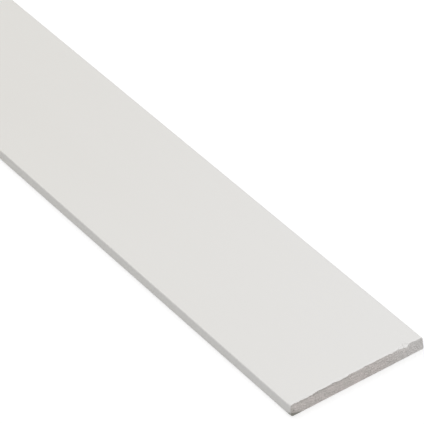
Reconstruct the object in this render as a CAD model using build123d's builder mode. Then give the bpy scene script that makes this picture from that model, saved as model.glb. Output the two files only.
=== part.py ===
from build123d import *
import os

# Flat trim strip: one extruded length of plain white trim with two square sawn ends.
# X runs along the length, Y across the width, and Z up from the back face.

# Driving dimensions, in millimetres.
strip_length = 1000.0
strip_width = 45.0
strip_thickness = 4.0
long_edge_radius = 0.4

os.makedirs("parts", exist_ok=True)

with BuildPart() as trim_strip:
    # The section stands on the back face and is drawn at one sawn end.
    with BuildSketch(Plane.YZ.offset(-strip_length / 2)) as section:
        Rectangle(strip_width, strip_thickness, align=(Align.CENTER, Align.MIN))
    extrude(amount=strip_length)

    # The extrusion die leaves the four long edges slightly rounded, and the saw leaves the
    # edges round both ends square.
    long_edges = trim_strip.edges().filter_by(Axis.X)
    fillet(long_edges, radius=long_edge_radius)

trim_strip.part.label = "trim_strip"
export_step(trim_strip.part, "parts/trim_strip.step")
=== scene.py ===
"""Flat trim strip: a white extruded strip with rounded long edges and rough sawn ends."""

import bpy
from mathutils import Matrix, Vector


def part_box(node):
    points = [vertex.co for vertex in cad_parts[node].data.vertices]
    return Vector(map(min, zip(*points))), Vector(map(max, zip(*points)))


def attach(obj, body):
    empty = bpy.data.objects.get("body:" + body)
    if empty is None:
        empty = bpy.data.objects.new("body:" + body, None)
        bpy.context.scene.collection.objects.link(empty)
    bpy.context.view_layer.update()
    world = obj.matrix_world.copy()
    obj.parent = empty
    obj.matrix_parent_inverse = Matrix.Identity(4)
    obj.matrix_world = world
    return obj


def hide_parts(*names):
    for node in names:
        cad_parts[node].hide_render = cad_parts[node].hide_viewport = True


bl_info = {
    "name": "Flat Trim Strip",
    "version": (1, 0, 0),
    "blender": (4, 5, 0),
    "location": "View3D > Sidebar > Trim Strip",
    "description": "Models a flat white trim strip with sawn ends and sets it on a plain stage",
    "category": "Object",
}

import math
from collections import namedtuple

import bmesh
import bpy
import numpy as np
from bpy.props import FloatProperty, FloatVectorProperty, IntProperty, PointerProperty
from mathutils import Quaternion, Vector

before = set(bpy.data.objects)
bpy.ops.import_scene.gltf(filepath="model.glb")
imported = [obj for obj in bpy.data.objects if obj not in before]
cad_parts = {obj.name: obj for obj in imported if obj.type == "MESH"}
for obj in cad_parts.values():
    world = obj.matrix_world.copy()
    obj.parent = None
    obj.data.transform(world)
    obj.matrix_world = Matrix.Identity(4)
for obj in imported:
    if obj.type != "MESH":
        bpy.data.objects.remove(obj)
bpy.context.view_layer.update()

NODE_LOW, NODE_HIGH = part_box("trim_strip")
NODE_SIZE = NODE_HIGH - NODE_LOW
NODE_MIDDLE = (NODE_LOW + NODE_HIGH) / 2

MM = 0.001
TOUCH = 0.001 * MM

# The strip's directions, and the signs of its two cuts along its length.
ALONG = Vector((1.0, 0.0, 0.0))
ACROSS = Vector((0.0, 1.0, 0.0))
UP = Vector((0.0, 0.0, 1.0))
FRONT = 1
REAR = -1

WHITE = (1.0, 1.0, 1.0, 1.0)
PVC_IOR = 1.53

# A dip in a cut, in millimetres: where it starts and stops, measured from the near long edge, how long
# it slopes in and out, and its depth.
Dip = namedtuple("Dip", "start stop slope_in slope_out depth")

# Breaks along the top edge of the front cut.
TOP_EDGE_BREAKS = (
    Dip(start=0.6, stop=9.3, slope_in=2.0, slope_out=1.4, depth=0.30),
    Dip(start=14.8, stop=20.1, slope_in=1.4, slope_out=0.9, depth=0.26),
    Dip(start=21.6, stop=23.0, slope_in=0.6, slope_out=0.6, depth=0.26),
    Dip(start=34.0, stop=35.1, slope_in=0.5, slope_out=0.5, depth=0.32),
    Dip(start=34.6, stop=37.2, slope_in=0.6, slope_out=0.6, depth=0.24),
    Dip(start=36.7, stop=39.0, slope_in=0.7, slope_out=0.3, depth=0.48),
    Dip(start=37.7, stop=40.9, slope_in=1.6, slope_out=1.4, depth=0.88),
    Dip(start=41.5, stop=44.6, slope_in=0.8, slope_out=0.8, depth=0.12),
)

# Where the face of the front cut leans back at its top.
LEANING_FACES = (
    Dip(start=24.5, stop=31.5, slope_in=2.0, slope_out=2.0, depth=0.14),
    Dip(start=39.8, stop=43.4, slope_in=1.0, slope_out=2.0, depth=0.12),
)

# Each side of the strip has a band of the map of this name: the way the side faces, the way that runs up
# the band, and the band's foot and head in shares of the map.
MAP_NAME = "OFBake"
Band = namedtuple("Band", "facing up foot head")
MAP_BANDS = {
    "front cut": Band(facing=ALONG, up=UP, foot=0.005, head=0.095),
    "rear cut": Band(facing=-ALONG, up=UP, foot=0.105, head=0.195),
    "near side": Band(facing=-ACROSS, up=UP, foot=0.205, head=0.285),
    "far side": Band(facing=ACROSS, up=-UP, foot=0.295, head=0.375),
    "back": Band(facing=-UP, up=-ACROSS, foot=0.385, head=0.585),
    "top": Band(facing=UP, up=ACROSS, foot=0.595, head=0.995),
}


class StripSettings(bpy.types.PropertyGroup):
    """Sizes of the strip and of the marks that the saw leaves."""

    length: FloatProperty(
        name="Length", description="Length between the sawn ends",
        default=NODE_SIZE.x, unit="LENGTH")
    width: FloatProperty(
        name="Width", description="Width of the section", default=NODE_SIZE.y, unit="LENGTH")
    thickness: FloatProperty(
        name="Thickness", description="Thickness of the section",
        default=NODE_SIZE.z, unit="LENGTH")
    edge_radius: FloatProperty(
        name="Long Edge Radius", description="Rounding that the die leaves on the long edges",
        default=0.4 * MM, unit="LENGTH", precision=5)
    edge_segments: IntProperty(
        name="Edge Segments", description="Faces round each long edge", default=5, min=2)
    cell: FloatProperty(
        name="Section Cell", description="Size of the cells that the section is divided into",
        default=0.45 * MM, unit="LENGTH", precision=5)
    first_ring: FloatProperty(
        name="First Ring", description="Length of the ring of faces next to a cut",
        default=0.25 * MM, unit="LENGTH", precision=5)
    ring_growth: FloatProperty(
        name="Ring Growth", description="How much longer each ring is than the one nearer the cut",
        default=1.45, min=1.0)
    ring_count: IntProperty(
        name="Rings", description="Rings of short faces at each end", default=8, min=1)
    span_count: IntProperty(
        name="Spans", description="Long spans between the rings of the two ends", default=24, min=1)
    fine_depth: FloatProperty(
        name="Fine Depth", description="How far from each cut the faces are divided again",
        default=3.1 * MM, unit="LENGTH", precision=5)
    saw_across: FloatProperty(
        name="Saw Across", description="Where the middle of the saw stood across the strip",
        default=10.0 * MM, unit="LENGTH", precision=5)
    saw_up: FloatProperty(
        name="Saw Up", description="Height of the middle of the saw",
        default=125.0 * MM, unit="LENGTH", precision=5)
    saw_pitch: FloatProperty(
        name="Saw Pitch", description="Distance between the deeper arcs that the saw leaves",
        default=0.9 * MM, unit="LENGTH", precision=5)
    saw_relief: FloatProperty(
        name="Saw Relief", description="Depth of the arcs that the saw leaves on a cut",
        default=0.06 * MM, unit="LENGTH", precision=5)
    torn_relief: FloatProperty(
        name="Torn Relief", description="Depth of the fine torn grain of a cut",
        default=0.11 * MM, unit="LENGTH", precision=5)
    edge_waver: FloatProperty(
        name="Edge Waver", description="How far the top edge of a cut strays from straight",
        default=0.11 * MM, unit="LENGTH", precision=5)
    edge_crumble: FloatProperty(
        name="Edge Crumble", description="Fine raggedness of the top edge of a cut",
        default=0.14 * MM, unit="LENGTH", precision=5)
    corner_wear: FloatProperty(
        name="Corner Wear", description="How far the near corner of the front cut is worn in",
        default=0.35 * MM, unit="LENGTH", precision=5)


class FinishSettings(bpy.types.PropertyGroup):
    """Colours of the extruded skin, of the sawn core and of the darkened near bottom corner."""

    skin: FloatVectorProperty(
        name="Skin", description="White of the extruded faces", subtype="COLOR", size=4,
        min=0.0, max=1.0, default=(0.775, 0.766, 0.750, 1.0))
    # Skin Shade is also the colour of the painted shade that darkens the skin towards the rear end.
    skin_shade: FloatVectorProperty(
        name="Skin Shade", description="Slightly greyer white that clouds the extruded faces",
        subtype="COLOR", size=4, min=0.0, max=1.0, default=(0.731, 0.716, 0.683, 1.0))
    rim: FloatVectorProperty(
        name="Rim", description="Paler white along edges that have been rubbed or bruised",
        subtype="COLOR", size=4, min=0.0, max=1.0, default=(0.86, 0.85, 0.84, 1.0))
    core: FloatVectorProperty(
        name="Core", description="Matt white of the sawn core", subtype="COLOR", size=4,
        min=0.0, max=1.0, default=(0.795, 0.733, 0.706, 1.0))
    core_shade: FloatVectorProperty(
        name="Core Shade", description="Greyer patches on the sawn core", subtype="COLOR", size=4,
        min=0.0, max=1.0, default=(0.718, 0.676, 0.644, 1.0))
    pit: FloatVectorProperty(
        name="Pit", description="Shade in the pits of the sawn core", subtype="COLOR", size=4,
        min=0.0, max=1.0, default=(0.40, 0.385, 0.36, 1.0))
    crumb: FloatVectorProperty(
        name="Crumb", description="Pale crumbs left on the sawn core", subtype="COLOR", size=4,
        min=0.0, max=1.0, default=(0.82, 0.81, 0.79, 1.0))
    # Dark colour that the near bottom corner of the front cut is darkened with.
    corner_dark: FloatVectorProperty(
        name="Corner Dark", description="Dirt in the chipped corner", subtype="COLOR", size=4,
        min=0.0, max=1.0, default=(0.31, 0.305, 0.27, 1.0))


class StageSettings(bpy.types.PropertyGroup):
    """Camera, lamp, surround and floor."""

    aim: FloatVectorProperty(
        name="Aim", description="Point at the middle of the picture", subtype="TRANSLATION",
        default=(NODE_HIGH.x - 0.08789, 0.00949, NODE_HIGH.z))
    azimuth: FloatProperty(
        name="Azimuth", description="Direction of the camera round the strip", subtype="ANGLE",
        default=math.radians(61.45))
    elevation: FloatProperty(
        name="Elevation", description="Height of the camera above the horizon", subtype="ANGLE",
        default=math.radians(37.075))
    roll: FloatProperty(
        name="Roll", description="Turn of the camera about its own axis", subtype="ANGLE",
        default=math.radians(-7.90))
    distance: FloatProperty(
        name="Distance", description="From the camera to the point it aims at", unit="LENGTH",
        default=1.12803)
    lens: FloatProperty(
        name="Lens", description="Focal length on a 36 mm sensor", unit="CAMERA", default=325.8)
    sky: FloatProperty(
        name="Sky", description="Strength of the even light from all round", default=0.43)
    key_place: FloatVectorProperty(
        name="Key Place", description="Where the large level softbox hangs", subtype="TRANSLATION",
        default=(0.4, -0.12, 1.2))
    key_size: FloatVectorProperty(
        name="Key Size", description="Length and width of the large softbox", size=2,
        unit="LENGTH", default=(4.0, 1.6))
    key_power: FloatProperty(
        name="Key Power", description="Power of the large softbox", unit="POWER", default=20.8)
    floor_radius: FloatProperty(
        name="Floor Radius", description="Radius of the floor", unit="LENGTH", default=12.0)
    floor_white: FloatProperty(
        name="Floor White", description="Colour of the floor under the lamp", default=0.61)
    floor_lift: FloatProperty(
        name="Floor Lift", description="Light added to the floor as the camera sees it",
        default=0.47)


def deselect_all():
    """Leaves edit mode and clears the selection."""
    if bpy.context.mode != "OBJECT":
        bpy.ops.object.mode_set(mode="OBJECT")
    bpy.ops.object.select_all(action="DESELECT")


def select_parts(piece, wanted, kind):
    """In edit mode, selects the vertices or faces that pass the test, and nothing else."""
    bpy.ops.mesh.select_mode(type=kind)
    bpy.ops.mesh.select_all(action="DESELECT")
    shape = bmesh.from_edit_mesh(piece.data)
    parts = shape.verts if kind == "VERT" else shape.faces
    for part in parts:
        if wanted(part):
            part.select_set(True)
    shape.select_flush_mode()
    bmesh.update_edit_mesh(piece.data)


def ring_steps(strip):
    """Steps along the length: short rings next to each cut and long spans between them."""
    rings = [strip.first_ring * strip.ring_growth ** i for i in range(strip.ring_count)]
    span = (strip.length - 2 * sum(rings)) / strip.span_count
    return rings + [span] * strip.span_count + rings[::-1]


def draw_out_section(strip):
    """Draws the section with its rounded corners at the rear end and extrudes it to the front."""
    deselect_all()
    bpy.ops.mesh.primitive_grid_add(
        x_subdivisions=round(strip.width / strip.cell),
        y_subdivisions=round(strip.thickness / strip.cell),
        size=1.0, calc_uvs=False,
        location=(NODE_LOW.x, NODE_MIDDLE.y, NODE_MIDDLE.z),
        rotation=(math.pi / 2, 0.0, math.pi / 2))
    piece = bpy.context.object
    piece.name = "flat_strip"
    piece.data.name = "flat_strip"
    piece.scale = (strip.width, strip.thickness, 1.0)
    bpy.ops.object.transform_apply(location=True, rotation=True, scale=True)

    def at_corner(vertex):
        across = abs(vertex.co.y - NODE_MIDDLE.y)
        up = abs(vertex.co.z - NODE_MIDDLE.z)
        return across > strip.width / 2 - TOUCH and up > strip.thickness / 2 - TOUCH

    bpy.ops.object.mode_set(mode="EDIT")
    select_parts(piece, at_corner, "VERT")
    bpy.ops.mesh.bevel(
        offset=strip.edge_radius, segments=strip.edge_segments, affect="VERTICES")
    bpy.ops.mesh.select_all(action="SELECT")
    for step in ring_steps(strip):
        bpy.ops.mesh.extrude_region_move(TRANSFORM_OT_translate={"value": (step, 0.0, 0.0)})
    return piece


def from_cut(place, end):
    """How far a place is from the cut at the front or the rear end."""
    return NODE_SIZE.x / 2 - end * (place.x - NODE_MIDDLE.x)


def divide_ends(piece, strip):
    """Divides the faces of both cuts and of the rings beside them once more."""
    def near_a_cut(face):
        return any(
            all(from_cut(v.co, end) < strip.fine_depth for v in face.verts) for end in (FRONT, REAR))

    select_parts(piece, near_a_cut, "FACE")
    bpy.ops.mesh.subdivide(number_cuts=2)


def lay_out_map(piece):
    """Lays each side out in its band of the map, with more room for the skin next to the cuts."""
    margin = 0.005
    facing_enough = 0.7
    end_run = 6.0 * MM / NODE_SIZE.x
    end_share = 0.12
    along = (0.0, end_run, 1.0 - end_run, 1.0)
    shown_along = (0.0, end_share, 1.0 - end_share, 1.0)

    shape = bmesh.from_edit_mesh(piece.data)
    layer = shape.loops.layers.uv.new(MAP_NAME)
    for face in shape.faces:
        band = next(
            band for band in MAP_BANDS.values() if band.facing.dot(face.normal) > facing_enough)
        across = band.up.cross(band.facing)
        for corner in face.loops:
            off = corner.vert.co - NODE_MIDDLE
            run = 0.5 + across.dot(off) / abs(across.dot(NODE_SIZE))
            climb = 0.5 + band.up.dot(off) / abs(band.up.dot(NODE_SIZE))
            if across.dot(ALONG) > facing_enough:
                run = np.interp(run, along, shown_along)
            corner[layer].uv = (
                margin + (1.0 - 2.0 * margin) * run, band.foot + (band.head - band.foot) * climb)
    bmesh.update_edit_mesh(piece.data)


def paint_cuts(piece):
    """Gives the faces of both cuts the second material."""
    facing_enough = 0.9
    select_parts(piece, lambda face: abs(face.normal.x) > facing_enough, "FACE")
    piece.active_material_index = 1
    bpy.ops.object.material_slot_assign()


def weigh(piece, name, weight):
    """Makes a vertex group with the weight that the function gives each vertex's place."""
    group = piece.vertex_groups.new(name=name)
    for vertex in piece.data.vertices:
        value = weight(vertex.co)
        if value > 0.0:
            group.add([vertex.index], value, "REPLACE")
    return name


def sink(piece, group, axis, depth, marks, guide_place, guide_scale):
    """Moves a group's vertices back along an axis by up to a depth, as far as a texture says."""
    bpy.ops.object.empty_add(location=guide_place)
    guide = bpy.context.object
    guide.scale = (guide_scale, guide_scale, guide_scale)
    bpy.context.view_layer.update()
    bpy.context.view_layer.objects.active = piece
    modifier = piece.modifiers.new(group, "DISPLACE")
    modifier.texture = marks
    modifier.texture_coords = "OBJECT"
    modifier.texture_coords_object = guide
    modifier.direction = axis
    modifier.mid_level = 0.0
    modifier.strength = -depth
    modifier.vertex_group = group
    bpy.ops.object.modifier_apply(modifier=modifier.name)
    bpy.data.objects.remove(guide)
    bpy.data.textures.remove(marks)


def sink_lumps(piece, group, axis, depth, size, contrast=2.0):
    """Soft lumps of about a size; less contrast makes them more even."""
    lumps = bpy.data.textures.new(group, type="CLOUDS")
    lumps.noise_scale = size
    lumps.noise_depth = 2
    lumps.contrast = contrast
    lumps.use_clamp = True
    sink(piece, group, axis, depth, lumps, guide_place=(0.0, 0.0, 0.0), guide_scale=1.0)


def sink_arcs(piece, group, depth, end, strip):
    """The arcs that the saw's teeth leave, round the saw's middle."""
    arcs = bpy.data.textures.new(group, type="WOOD")
    arcs.wood_type = "RINGNOISE"
    arcs.noise_basis_2 = "SIN"
    arcs.noise_scale = 8.0
    arcs.turbulence = 4.0
    # The rings of this texture are a sine of 20 times the distance.
    ring_pitch = 2 * math.pi / 20
    middle = (end * NODE_SIZE.x / 2 + NODE_MIDDLE.x, strip.saw_across, strip.saw_up)
    sink(
        piece, group, "X", end * depth, arcs,
        guide_place=middle, guide_scale=strip.saw_pitch / ring_pitch)


def roughen_cut(piece, strip, end, side):
    """Saw marks, torn grain and a ragged top edge on one cut."""
    edge_run = 1.4 * MM
    edge_drop = 0.9 * MM
    torn_size = 0.55 * MM
    waver_size = 3.0 * MM
    crumble_size = 0.7 * MM

    def on_cut(place):
        return float(from_cut(place, end) < TOUCH)

    def near_top_edge(place):
        along = 1.0 - from_cut(place, end) / edge_run
        down = 1.0 - (NODE_HIGH.z - place.z) / edge_drop
        return max(along, 0.0) * max(down, 0.0)

    cut = weigh(piece, side + "_cut", on_cut)
    edge = weigh(piece, side + "_top_edge", near_top_edge)
    sink_arcs(piece, cut, strip.saw_relief, end, strip)
    sink_lumps(piece, cut, "X", end * strip.torn_relief, torn_size)
    sink_lumps(piece, edge, "X", end * strip.edge_waver, waver_size)
    sink_lumps(piece, edge, "X", end * strip.edge_crumble, crumble_size)


def ramp(value, low, high):
    """0 below low, 1 above high, and smooth between."""
    share = min(max((value - low) / (high - low), 0.0), 1.0)
    return share * share * (3.0 - 2.0 * share)


def deepest_dip(place, dips):
    """Depth in millimetres of the deepest of some dips, at a place across the strip."""
    across = (place.y - NODE_LOW.y) / MM
    return max(
        dip.depth * min(
            ramp(across, dip.start, dip.start + dip.slope_in),
            1.0 - ramp(across, dip.stop - dip.slope_out, dip.stop))
        for dip in dips)


def break_top_edge(piece):
    """Breaks the top edge of the front cut, and leans its face back in places."""
    deepest = max(dip.depth for dip in TOP_EDGE_BREAKS)
    furthest = max(dip.depth for dip in LEANING_FACES)
    break_slope = 0.45
    break_drop = 1.6 * MM
    lean_run = 1.4 * MM
    lean_drop = 2.4 * MM
    lump_size = 0.9 * MM
    # Even lumps sink to about half of the depth that they are given.
    given = 2.0 * MM

    def broken(place):
        depth = deepest_dip(place, TOP_EDGE_BREAKS)
        behind = max(depth - break_slope * from_cut(place, FRONT) / MM, 0.0)
        below = 1.0 - ramp(NODE_HIGH.z - place.z, 0.0, break_drop)
        return behind / deepest * below

    def leaning(place):
        share = deepest_dip(place, LEANING_FACES) / furthest
        behind = 1.0 - ramp(from_cut(place, FRONT), 0.0, lean_run)
        below = 1.0 - ramp(NODE_HIGH.z - place.z, 0.0, lean_drop)
        return share * behind * below

    breaks = weigh(piece, "top_edge_breaks", broken)
    lean = weigh(piece, "leaning_faces", leaning)
    sink_lumps(piece, breaks, "Z", given * deepest, lump_size, contrast=0.3)
    sink_lumps(piece, lean, "X", given * furthest, lump_size, contrast=0.5)


def push_in(piece, place, move, reach):
    """Pushes the vertices next to a place, and softly those within reach."""
    touched = 0.3 * MM
    select_parts(piece, lambda vertex: (vertex.co - place).length < touched, "VERT")
    bpy.ops.transform.translate(
        value=move, use_proportional_edit=True, proportional_edit_falloff="SHARP",
        proportional_size=reach)


def wear_near_corner(piece, strip):
    """Wears the near corner of the front cut in, at its top and at its foot."""
    inset = 0.15 * MM
    reach = 1.8 * MM
    top = Vector((NODE_HIGH.x - inset, NODE_LOW.y + inset, NODE_HIGH.z - inset))
    foot = Vector((NODE_HIGH.x - inset, NODE_LOW.y + inset, NODE_LOW.z + inset))
    top_wear = Vector((-0.3, 1.0, -0.5)) * strip.corner_wear
    foot_wear = Vector((-0.2, 0.4, 0.1)) * strip.corner_wear
    push_in(piece, top, top_wear, reach)
    push_in(piece, foot, foot_wear, reach)


def place_node(tree, kind, options=None, inputs=None):
    """Adds a node, sets its options, and sets or links its inputs."""
    node = tree.nodes.new(kind)
    for option, value in (options or {}).items():
        setattr(node, option, value)
    for name, value in (inputs or {}).items():
        socket = node.inputs[name]
        if isinstance(value, bpy.types.NodeSocket):
            tree.links.new(value, socket)
        else:
            socket.default_value = value
    return node


def noise(tree, vector, scale, detail=2.0, roughness=0.5):
    """Soft noise with so many lumps to the metre."""
    node = place_node(tree, "ShaderNodeTexNoise", None, {
        "Vector": vector, "Scale": scale, "Detail": detail, "Roughness": roughness})
    return node.outputs[0]


def axes_of(tree, vector):
    """The coordinates of a place one by one."""
    return place_node(tree, "ShaderNodeSeparateXYZ", None, {0: vector}).outputs


def vector_sum(tree, operation, a, b=(0.0, 0.0, 0.0)):
    """One sum of two vectors."""
    node = place_node(tree, "ShaderNodeVectorMath", {"operation": operation}, {0: a, 1: b})
    return node.outputs["Vector"]


def stretch(tree, vector, scale):
    """The coordinates times a scale for each axis."""
    return vector_sum(tree, "MULTIPLY", vector, scale)


def shift(tree, vector, by):
    """The coordinates moved by a vector."""
    return vector_sum(tree, "ADD", vector, by)


def reach_of(tree, vector):
    """How far a place is from where its coordinates start."""
    node = place_node(tree, "ShaderNodeVectorMath", {"operation": "LENGTH"}, {0: vector})
    return node.outputs["Value"]


def sums(tree, operation, a, b=0.0):
    """One sum of two values."""
    node = place_node(tree, "ShaderNodeMath", {"operation": operation}, {0: a, 1: b})
    return node.outputs[0]


def plus(tree, a, b):
    """Two values added."""
    return sums(tree, "ADD", a, b)


def less(tree, a, b):
    """The second value taken from the first."""
    return sums(tree, "SUBTRACT", a, b)


def times(tree, a, b):
    """Two values multiplied."""
    return sums(tree, "MULTIPLY", a, b)


def rise(tree, value, low, high):
    """0 below low, 1 above high, and smooth between."""
    node = place_node(tree, "ShaderNodeMapRange", {"interpolation_type": "SMOOTHSTEP"}, {
        "Value": value, "From Min": low, "From Max": high})
    return node.outputs["Result"]


def fall(tree, value, low, high):
    """1 below low, 0 above high, and smooth between."""
    return less(tree, 1.0, rise(tree, value, low, high))


def blend(tree, share, a, b):
    """Colour a where share is 0 and colour b where it is 1."""
    factor, colour_a, colour_b = 0, 6, 7
    result = 2
    node = place_node(tree, "ShaderNodeMix", {"data_type": "RGBA"}, {
        factor: share, colour_a: a, colour_b: b})
    return node.outputs[result]


def new_group(name, inputs, output):
    """An empty shader node group with named sockets, its inputs, and the end that its output goes to."""
    group = bpy.data.node_groups.new(name, "ShaderNodeTree")
    for label, kind in inputs.items():
        group.interface.new_socket(label, in_out="INPUT", socket_type=kind)
    group.interface.new_socket(output, in_out="OUTPUT", socket_type="NodeSocketFloat")
    start = group.nodes.new("NodeGroupInput")
    end = group.nodes.new("NodeGroupOutput")
    return group, start.outputs, end.inputs[output]


def use_group(tree, group, inputs):
    """Places a node group in a material."""
    return place_node(tree, "ShaderNodeGroup", {"node_tree": group}, inputs).outputs[0]


def speck_group():
    """Mask of scattered specks, ragged in outline and each of its own size."""
    finer = 2.5
    raggedness = 0.8
    solid_share = 0.3
    group, given, end = new_group("specks", {
        "Vector": "NodeSocketVector", "Scale": "NodeSocketFloat", "Size": "NodeSocketFloat"}, "Specks")

    wobble = place_node(group, "ShaderNodeTexNoise", None, {
        "Vector": given["Vector"], "Scale": times(group, given["Scale"], finer), "Detail": 2.0})
    centred = shift(group, wobble.outputs["Color"], (-0.5, -0.5, -0.5))
    nudge = place_node(group, "ShaderNodeVectorMath", {"operation": "SCALE"}, {
        0: centred, "Scale": sums(group, "DIVIDE", raggedness, given["Scale"])})
    cells = place_node(group, "ShaderNodeTexVoronoi", None, {
        "Vector": shift(group, given["Vector"], nudge.outputs["Vector"]), "Scale": given["Scale"]})
    chance = place_node(group, "ShaderNodeSeparateColor", None, {0: cells.outputs["Color"]})
    size = times(group, given["Size"], chance.outputs[0])
    specks = fall(group, cells.outputs["Distance"], times(group, size, solid_share), size)
    group.links.new(specks, end)
    return group


def rim_group(strip):
    """Ragged mask of the top skin that the saw has bruised, next to the two cuts."""
    raggedness = 2.0 * MM
    half_length = strip.length / 2
    group, given, end = new_group("bruised_rims", {"Vector": "NodeSocketVector"}, "Cuts")

    place = given["Vector"]
    axes = axes_of(group, place)
    ragged = noise(group, place, scale=900.0, detail=4.0, roughness=0.65)
    along = plus(group, sums(group, "ABSOLUTE", axes["X"]), times(group, ragged, raggedness))
    near_cut = rise(group, along, low=half_length - 0.3 * MM, high=half_length + 0.6 * MM)
    on_top = rise(group, axes["Z"], low=NODE_HIGH.z - 1.6 * MM, high=NODE_HIGH.z - 0.6 * MM)
    group.links.new(times(group, near_cut, on_top), end)
    return group


def corner_dark_group():
    """Mask that darkens the chipped near bottom corner of the front cut, with a spot above it and a line
    up its vertical edge.
    """
    corner = Vector((NODE_HIGH.x, NODE_LOW.y, NODE_LOW.z))
    patch_reach = Vector((3.6, 5.6, 2.4)) * MM
    patch_size = 1.25
    patch_raggedness = 0.6
    spot = corner + Vector((0.0, 1.0, 1.8)) * MM
    spot_raggedness = 0.8 * MM
    spot_share = 0.6
    edge_share = 0.2
    group, given, end = new_group("dark_corner_patch", {"Vector": "NodeSocketVector"}, "Corner Dark")

    place = given["Vector"]
    ragged = times(group, noise(group, place, scale=1600.0), patch_raggedness)
    placed = shift(group, place, -corner)
    scaled = stretch(group, placed, (1 / patch_reach.x, 1 / patch_reach.y, 1 / patch_reach.z))
    far = place_node(group, "ShaderNodeVectorMath", {"operation": "DOT_PRODUCT"}, {
        0: vector_sum(group, "ABSOLUTE", scaled), 1: (1.0, 1.0, 1.0)})
    near = less(group, patch_size, plus(group, far.outputs["Value"], ragged))
    patch = rise(group, near, low=0.0, high=0.6)

    off_spot = reach_of(group, shift(group, place, -spot))
    off_spot = plus(group, off_spot, times(group, ragged, spot_raggedness))
    on_spot = fall(group, off_spot, low=0.3 * MM, high=0.9 * MM)
    off_edge = reach_of(group, stretch(group, placed, (1.0, 1.0, 0.0)))
    on_edge = fall(group, off_edge, low=0.1 * MM, high=0.8 * MM)
    marks = sums(
        group, "MAXIMUM", times(group, on_spot, spot_share), times(group, on_edge, edge_share))
    group.links.new(sums(group, "MAXIMUM", patch, marks), end)
    return group


def new_material(name):
    """A material with its Principled shader, and the strip's own coordinates."""
    material = bpy.data.materials.new(name)
    material.use_nodes = True
    tree = material.node_tree
    shader = tree.nodes["Principled BSDF"]
    shader.inputs["IOR"].default_value = PVC_IOR
    place = tree.nodes.new("ShaderNodeTexCoord").outputs["Object"]
    return material, tree, shader, place


def add_bump(tree, shader, height, strength, depth):
    """Bump of a depth on the shader's normal."""
    bump = place_node(tree, "ShaderNodeBump", None, {
        "Strength": strength, "Distance": depth, "Height": height})
    tree.links.new(bump.outputs["Normal"], shader.inputs["Normal"])


def skin_material(finish, rims, corner_dark, specks):
    """Smooth satin skin of the extruded faces."""
    brightest_at = NODE_HIGH.x + 0.02
    darkest_at = NODE_HIGH.x - 0.20
    shade_slant = 1.33
    cloud_stretch = (9.0, 60.0, 60.0)
    line_stretch = (3.0, 900.0, 900.0)
    cloud_share = 0.3
    bruise_share = 0.55
    speck_share = 0.12
    satin = 0.44
    line_matt = 0.12
    bruise_matt = 0.25
    peel_height = 0.8
    torn_height = 6.0

    material, tree, shader, place = new_material("satin_white_skin")
    axes = axes_of(tree, place)
    # Painted shade: the skin is painted darker and a little yellower from the front end towards the
    # rear, aslant across the top. It stands in partly for the lamp's falloff along the strip and partly
    # for yellowing of the skin. The clouds below add this painted shade to the mottle.
    slant = plus(tree, axes["X"], times(tree, axes["Y"], shade_slant))
    yellowing_and_painted_shade = place_node(tree, "ShaderNodeMapRange", None, {
        "Value": slant, "From Min": brightest_at, "From Max": darkest_at})
    mottle = noise(tree, stretch(tree, place, cloud_stretch), scale=1.0, detail=3.0)
    mottle = times(tree, less(tree, mottle, 0.5), cloud_share)
    clouds = plus(tree, yellowing_and_painted_shade.outputs["Result"], mottle)
    lines = noise(tree, stretch(tree, place, line_stretch), scale=1.0, detail=3.0, roughness=0.6)
    bruised = use_group(tree, rims, {"Vector": place})
    specked = use_group(tree, specks, {"Vector": place, "Scale": 120.0, "Size": 0.04})
    corner_darkening = use_group(tree, corner_dark, {"Vector": place})

    colour = blend(tree, clouds, finish.skin, finish.skin_shade)
    colour = blend(tree, times(tree, bruised, bruise_share), colour, finish.rim)
    colour = blend(tree, times(tree, specked, speck_share), colour, finish.pit)
    colour = blend(tree, corner_darkening, colour, finish.corner_dark)
    tree.links.new(colour, shader.inputs["Base Color"])

    roughness = plus(tree, satin, times(tree, lines, line_matt))
    roughness = plus(tree, roughness, times(tree, bruised, bruise_matt))
    tree.links.new(roughness, shader.inputs["Roughness"])

    peel = noise(tree, place, scale=260.0)
    torn = times(tree, noise(tree, place, scale=2200.0, detail=3.0), bruised)
    height = plus(tree, lines, times(tree, peel, peel_height))
    height = plus(tree, height, times(tree, torn, torn_height))
    add_bump(tree, shader, height, strength=0.25, depth=0.02 * MM)
    return material


def saw_lines(tree, place, strip):
    """Fine arcs round the saw's middle, as a value that changes from one arc to the next."""
    middle = Vector((0.0, strip.saw_across, strip.saw_up))
    flat = stretch(tree, shift(tree, place, -middle), (0.0, 1.0, 1.0))
    arcs = place_node(tree, "ShaderNodeTexNoise", {"noise_dimensions": "1D"}, {
        "W": reach_of(tree, flat), "Scale": 3200.0, "Detail": 2.0, "Roughness": 0.5})
    return arcs.outputs[0]


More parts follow.
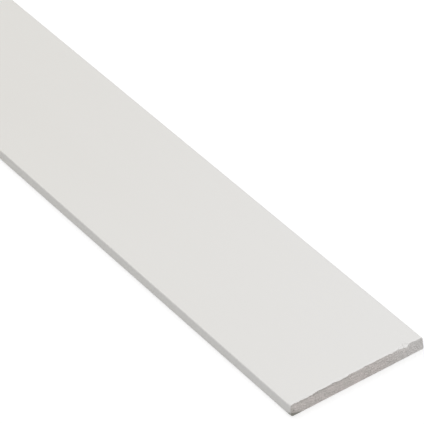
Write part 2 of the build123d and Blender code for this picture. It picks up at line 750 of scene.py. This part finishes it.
def cut_material(finish, strip, corner_dark):
    """Rough matt core that the saw lays open."""
    crumb_shift = (0.31, 0.17, 0.53)
    crust_share = 0.65
    crust_fading = 0.5
    crust_floor = 0.4
    crust_patches = 0.6
    paler_share = 0.6
    pit_share = 0.15
    crumb_share = 0.24
    matt = 0.80
    patch_matt = 0.12
    line_height = 0.7
    grain_height = 0.8
    crumb_height = 0.5

    material, tree, shader, place = new_material("sawn_white_core")
    axes = axes_of(tree, place)
    patches = noise(tree, place, scale=420.0, detail=3.0, roughness=0.6)
    patches = rise(tree, patches, low=0.35, high=0.65)
    grain = noise(tree, place, scale=2600.0, detail=3.0, roughness=0.6)
    lines = saw_lines(tree, place, strip)
    depth_in = sums(tree, "MINIMUM", axes["Z"], less(tree, NODE_HIGH.z, axes["Z"]))
    inside = rise(tree, depth_in, low=0.2 * MM, high=0.7 * MM)
    pits = rise(tree, noise(tree, place, scale=2300.0), low=0.50, high=0.70)
    pits = times(tree, pits, inside)
    crumbs = noise(tree, shift(tree, place, crumb_shift), scale=2600.0)
    crumbs = rise(tree, crumbs, low=0.54, high=0.72)
    corner_darkening = use_group(tree, corner_dark, {"Vector": place})

    # A darker crust lies under the top skin. It fades towards the far side, where the core is also
    # paler.
    crust = rise(tree, axes["Z"], low=NODE_HIGH.z - 1.0 * MM, high=NODE_HIGH.z - 0.5 * MM)
    fading = times(tree, rise(tree, axes["Y"], low=-8.0 * MM, high=4.0 * MM), crust_fading)
    broken = rise(tree, noise(tree, place, scale=260.0), low=0.35, high=0.65)
    uneven = plus(tree, crust_floor, times(tree, broken, crust_patches))
    crust = times(tree, crust, times(tree, less(tree, crust_share, fading), uneven))
    paler_far_side = rise(tree, axes["Y"], low=6.0 * MM, high=22.0 * MM)

    colour = blend(tree, patches, finish.core, finish.core_shade)
    colour = blend(tree, crust, colour, finish.pit)
    colour = blend(tree, times(tree, paler_far_side, paler_share), colour, finish.rim)
    colour = blend(tree, times(tree, pits, pit_share), colour, finish.pit)
    colour = blend(tree, times(tree, crumbs, crumb_share), colour, finish.crumb)
    colour = blend(tree, corner_darkening, colour, finish.corner_dark)
    tree.links.new(colour, shader.inputs["Base Color"])

    roughness = plus(tree, matt, times(tree, patches, patch_matt))
    tree.links.new(roughness, shader.inputs["Roughness"])

    height = plus(tree, times(tree, lines, line_height), times(tree, grain, grain_height))
    height = less(tree, height, pits)
    height = plus(tree, height, times(tree, crumbs, crumb_height))
    add_bump(tree, shader, height, strength=1.0, depth=0.1 * MM)
    shader.inputs["Specular IOR Level"].default_value = 0.3
    return material


def shown_rays(tree):
    """1 for the rays that show a surface as it looks: from the camera, a gloss or through glass."""
    rays = tree.nodes.new("ShaderNodeLightPath").outputs
    mirrored = sums(tree, "MAXIMUM", rays["Is Glossy Ray"], rays["Is Transmission Ray"])
    return sums(tree, "MAXIMUM", rays["Is Camera Ray"], mirrored)


def mix_shaders(tree, share, a, b):
    """Shader a where share is 0 and shader b where it is 1."""
    node = place_node(tree, "ShaderNodeMixShader", None, {0: share, 1: a, 2: b})
    return node.outputs[0]


def floor_material(strip, stage):
    """Plain white floor: it keeps the strip's shadow, and is pure white away from it."""
    material = bpy.data.materials.new("white_floor")
    material.use_nodes = True
    tree = material.node_tree
    tree.nodes.clear()
    place = tree.nodes.new("ShaderNodeTexCoord").outputs["Object"]
    half = (strip.length / 2, strip.width / 2, 0.0)
    past = vector_sum(tree, "SUBTRACT", vector_sum(tree, "ABSOLUTE", place), half)
    outside = vector_sum(tree, "MAXIMUM", past)
    away = rise(tree, reach_of(tree, outside), low=40.0 * MM, high=250.0 * MM)

    paint = place_node(tree, "ShaderNodeBsdfDiffuse", None, {
        "Color": (stage.floor_white, stage.floor_white, stage.floor_white, 1.0)}).outputs[0]
    lift = place_node(tree, "ShaderNodeEmission", None, {
        "Color": WHITE, "Strength": stage.floor_lift}).outputs[0]
    lifted = place_node(tree, "ShaderNodeAddShader", None, {0: paint, 1: lift}).outputs[0]
    plain = place_node(tree, "ShaderNodeEmission", None, {
        "Color": WHITE, "Strength": 1.0}).outputs[0]
    seen = mix_shaders(tree, away, lifted, plain)
    whole = mix_shaders(tree, shown_rays(tree), paint, seen)
    place_node(tree, "ShaderNodeOutputMaterial", None, {"Surface": whole})
    return material


def lay_floor(strip, stage):
    """A wide round floor under the strip."""
    deselect_all()
    bpy.ops.mesh.primitive_circle_add(
        vertices=64, radius=stage.floor_radius, fill_type="NGON",
        location=(0.0, 0.0, NODE_LOW.z))
    floor = bpy.context.object
    floor.name = "floor"
    bpy.ops.object.transform_apply(location=True)
    floor.data.materials.append(floor_material(strip, stage))


def light_world(stage):
    """Even light from all round, shown as white."""
    world = bpy.data.worlds.new("white_surround")
    world.use_nodes = True
    tree = world.node_tree
    tree.nodes.clear()
    light = place_node(tree, "ShaderNodeBackground", None, {
        "Color": WHITE, "Strength": stage.sky}).outputs[0]
    plain = place_node(tree, "ShaderNodeBackground", None, {
        "Color": WHITE, "Strength": 1.0}).outputs[0]
    whole = mix_shaders(tree, shown_rays(tree), light, plain)
    place_node(tree, "ShaderNodeOutputWorld", None, {"Surface": whole})
    bpy.context.scene.world = world


def hang_softbox(stage):
    """A large level lamp over the strip that isn't seen itself."""
    bpy.ops.object.light_add(type="AREA", location=stage.key_place)
    lamp = bpy.context.object
    lamp.name = "key_softbox"
    lamp.data.shape = "RECTANGLE"
    lamp.data.size, lamp.data.size_y = stage.key_size
    lamp.data.energy = stage.key_power
    lamp.visible_camera = False


def set_camera(stage):
    """Looks down on the front cut from the photograph's side."""
    across = math.cos(stage.elevation)
    back = Vector((
        math.sin(stage.azimuth) * across,
        -math.cos(stage.azimuth) * across,
        math.sin(stage.elevation)))
    bpy.ops.object.camera_add(location=Vector(stage.aim) + back * stage.distance)
    camera = bpy.context.object
    camera.name = "picture_camera"
    camera.rotation_mode = "QUATERNION"
    camera.rotation_quaternion = (
        (-back).to_track_quat("-Z", "Y") @ Quaternion((0.0, 0.0, 1.0), stage.roll))
    camera.data.sensor_width = 36.0
    camera.data.lens = stage.lens
    bpy.context.scene.camera = camera


class TRIM_OT_make_strip(bpy.types.Operator):
    """Model the strip, with its rounded long edges and its sawn ends"""

    bl_idname = "trim.make_strip"
    bl_label = "Make Strip"

    def execute(self, context):
        strip = context.scene.trim_strip
        finish = context.scene.trim_finish
        piece = draw_out_section(strip)
        divide_ends(piece, strip)
        lay_out_map(piece)

        corner_dark = corner_dark_group()
        piece.data.materials.append(skin_material(finish, rim_group(strip), corner_dark, speck_group()))
        piece.data.materials.append(cut_material(finish, strip, corner_dark))
        paint_cuts(piece)

        bpy.ops.object.mode_set(mode="OBJECT")
        roughen_cut(piece, strip, FRONT, "front")
        roughen_cut(piece, strip, REAR, "rear")
        break_top_edge(piece)
        bpy.ops.object.mode_set(mode="EDIT")
        wear_near_corner(piece, strip)
        bpy.ops.object.mode_set(mode="OBJECT")
        piece.vertex_groups.clear()
        bpy.ops.object.shade_smooth_by_angle(angle=math.radians(40.0))

        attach(piece, "root")
        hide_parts("trim_strip")
        return {"FINISHED"}


class TRIM_OT_set_stage(bpy.types.Operator):
    """Lay the floor, hang the lamp and set the camera"""

    bl_idname = "trim.set_stage"
    bl_label = "Set Stage"

    def execute(self, context):
        stage = context.scene.trim_stage
        lay_floor(context.scene.trim_strip, stage)
        light_world(stage)
        hang_softbox(stage)
        set_camera(stage)
        context.scene.view_settings.view_transform = "Standard"
        return {"FINISHED"}


class TRIM_PT_sidebar(bpy.types.Panel):
    """Sizes, finish and stage of the trim strip"""

    bl_idname = "TRIM_PT_sidebar"
    bl_label = "Flat Trim Strip"
    bl_space_type = "VIEW_3D"
    bl_region_type = "UI"
    bl_category = "Trim Strip"

    def draw(self, context):
        scene = context.scene
        for settings in (scene.trim_strip, scene.trim_finish, scene.trim_stage):
            box = self.layout.box()
            for name in settings.__annotations__:
                box.prop(settings, name)
        self.layout.operator(TRIM_OT_make_strip.bl_idname)
        self.layout.operator(TRIM_OT_set_stage.bl_idname)


CLASSES = (
    StripSettings, FinishSettings, StageSettings,
    TRIM_OT_make_strip, TRIM_OT_set_stage, TRIM_PT_sidebar,
)


def register():
    """Registers the classes and gives the scene its settings."""
    for kind in CLASSES:
        bpy.utils.register_class(kind)
    bpy.types.Scene.trim_strip = PointerProperty(type=StripSettings)
    bpy.types.Scene.trim_finish = PointerProperty(type=FinishSettings)
    bpy.types.Scene.trim_stage = PointerProperty(type=StageSettings)


def unregister():
    """Takes the settings and the classes away again."""
    del bpy.types.Scene.trim_stage
    del bpy.types.Scene.trim_finish
    del bpy.types.Scene.trim_strip
    for kind in reversed(CLASSES):
        bpy.utils.unregister_class(kind)


def main():
    """Makes the strip and its stage."""
    register()
    bpy.ops.trim.make_strip()
    bpy.ops.trim.set_stage()


if __name__ == "__main__":
    main()
